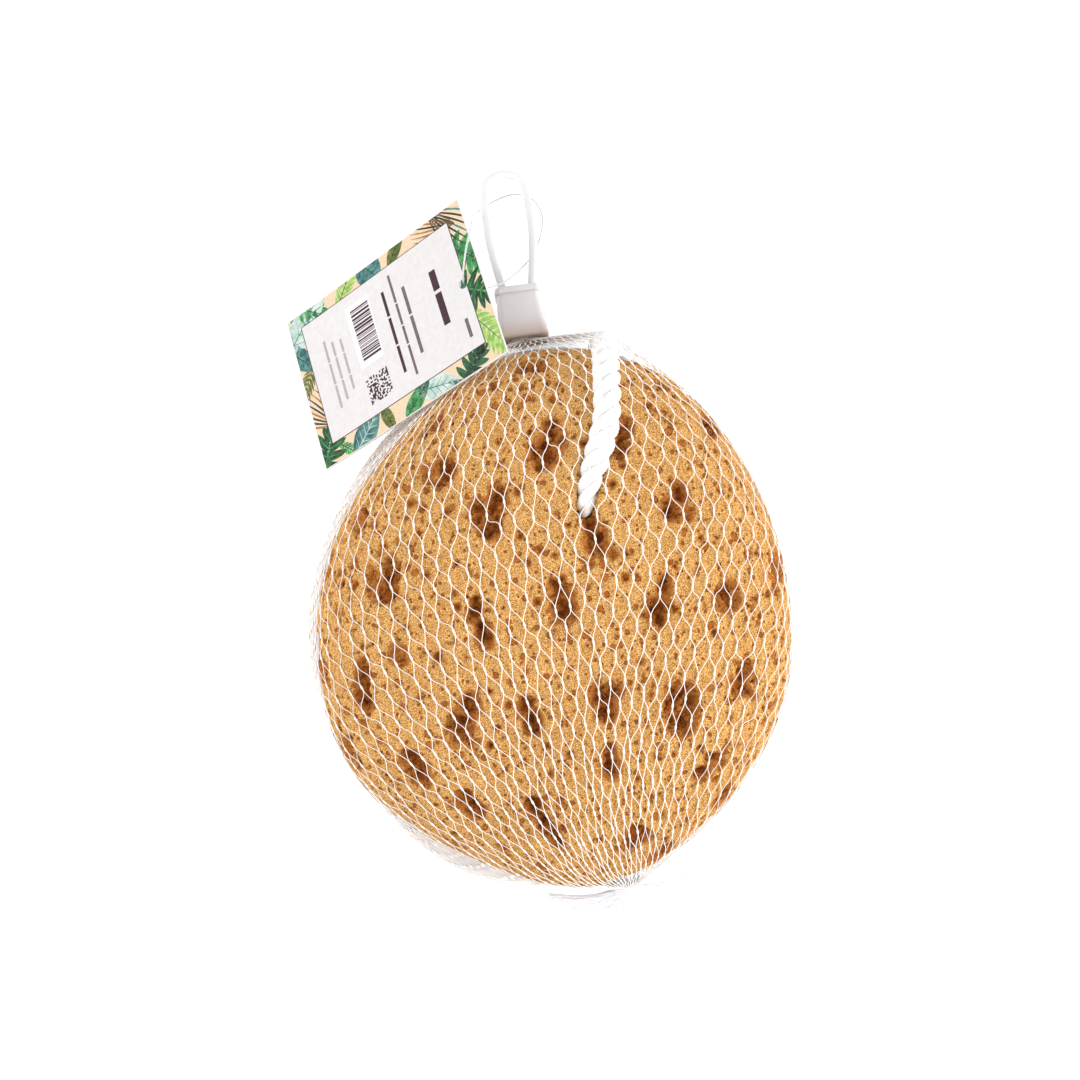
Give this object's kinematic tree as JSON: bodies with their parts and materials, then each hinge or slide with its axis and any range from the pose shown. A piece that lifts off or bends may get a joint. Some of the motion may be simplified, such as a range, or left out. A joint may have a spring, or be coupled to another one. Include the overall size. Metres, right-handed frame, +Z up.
{
  "type": "sea sponge style bath sponge in a net bag",
  "caption": "Round bath sponge of porous sea-sponge foam with a soft backing and rope loop, packed in a net bag with a plastic hanger and a card tag.",
  "frame": {"origin": "on the surface the object lies on, under the middle of its bounding box, the tag's thread left out", "axes": "+Z up through the sponge's thickness, away from its backing; +Y towards the hanger and the tag; +X to the right as seen from the front of the sponge with the hanger at the top"},
  "size_m": [0.1606, 0.2572, 0.0669],
  "materials": {
    "foam": "open-celled golden tan foam, matt, with fine pores and large brown hollows",
    "pad": "soft white padding, matt",
    "cotton": "white twisted cotton rope, matt",
    "net": "white drawn plastic net, slightly glossy",
    "plastic": "moulded white polyethylene, satin",
    "card": "coated card printed with a leaf border",
    "thread": "thin white nylon thread, slightly glossy"
  },
  "bodies": {
    "root": {"foam_sponge": "foam", "backing_pad": "pad", "rope_loop": "cotton", "net_bag": "net", "hanger": "plastic", "tag_card": "card", "tag_thread": "thread"}
  },
  "joints": []
}
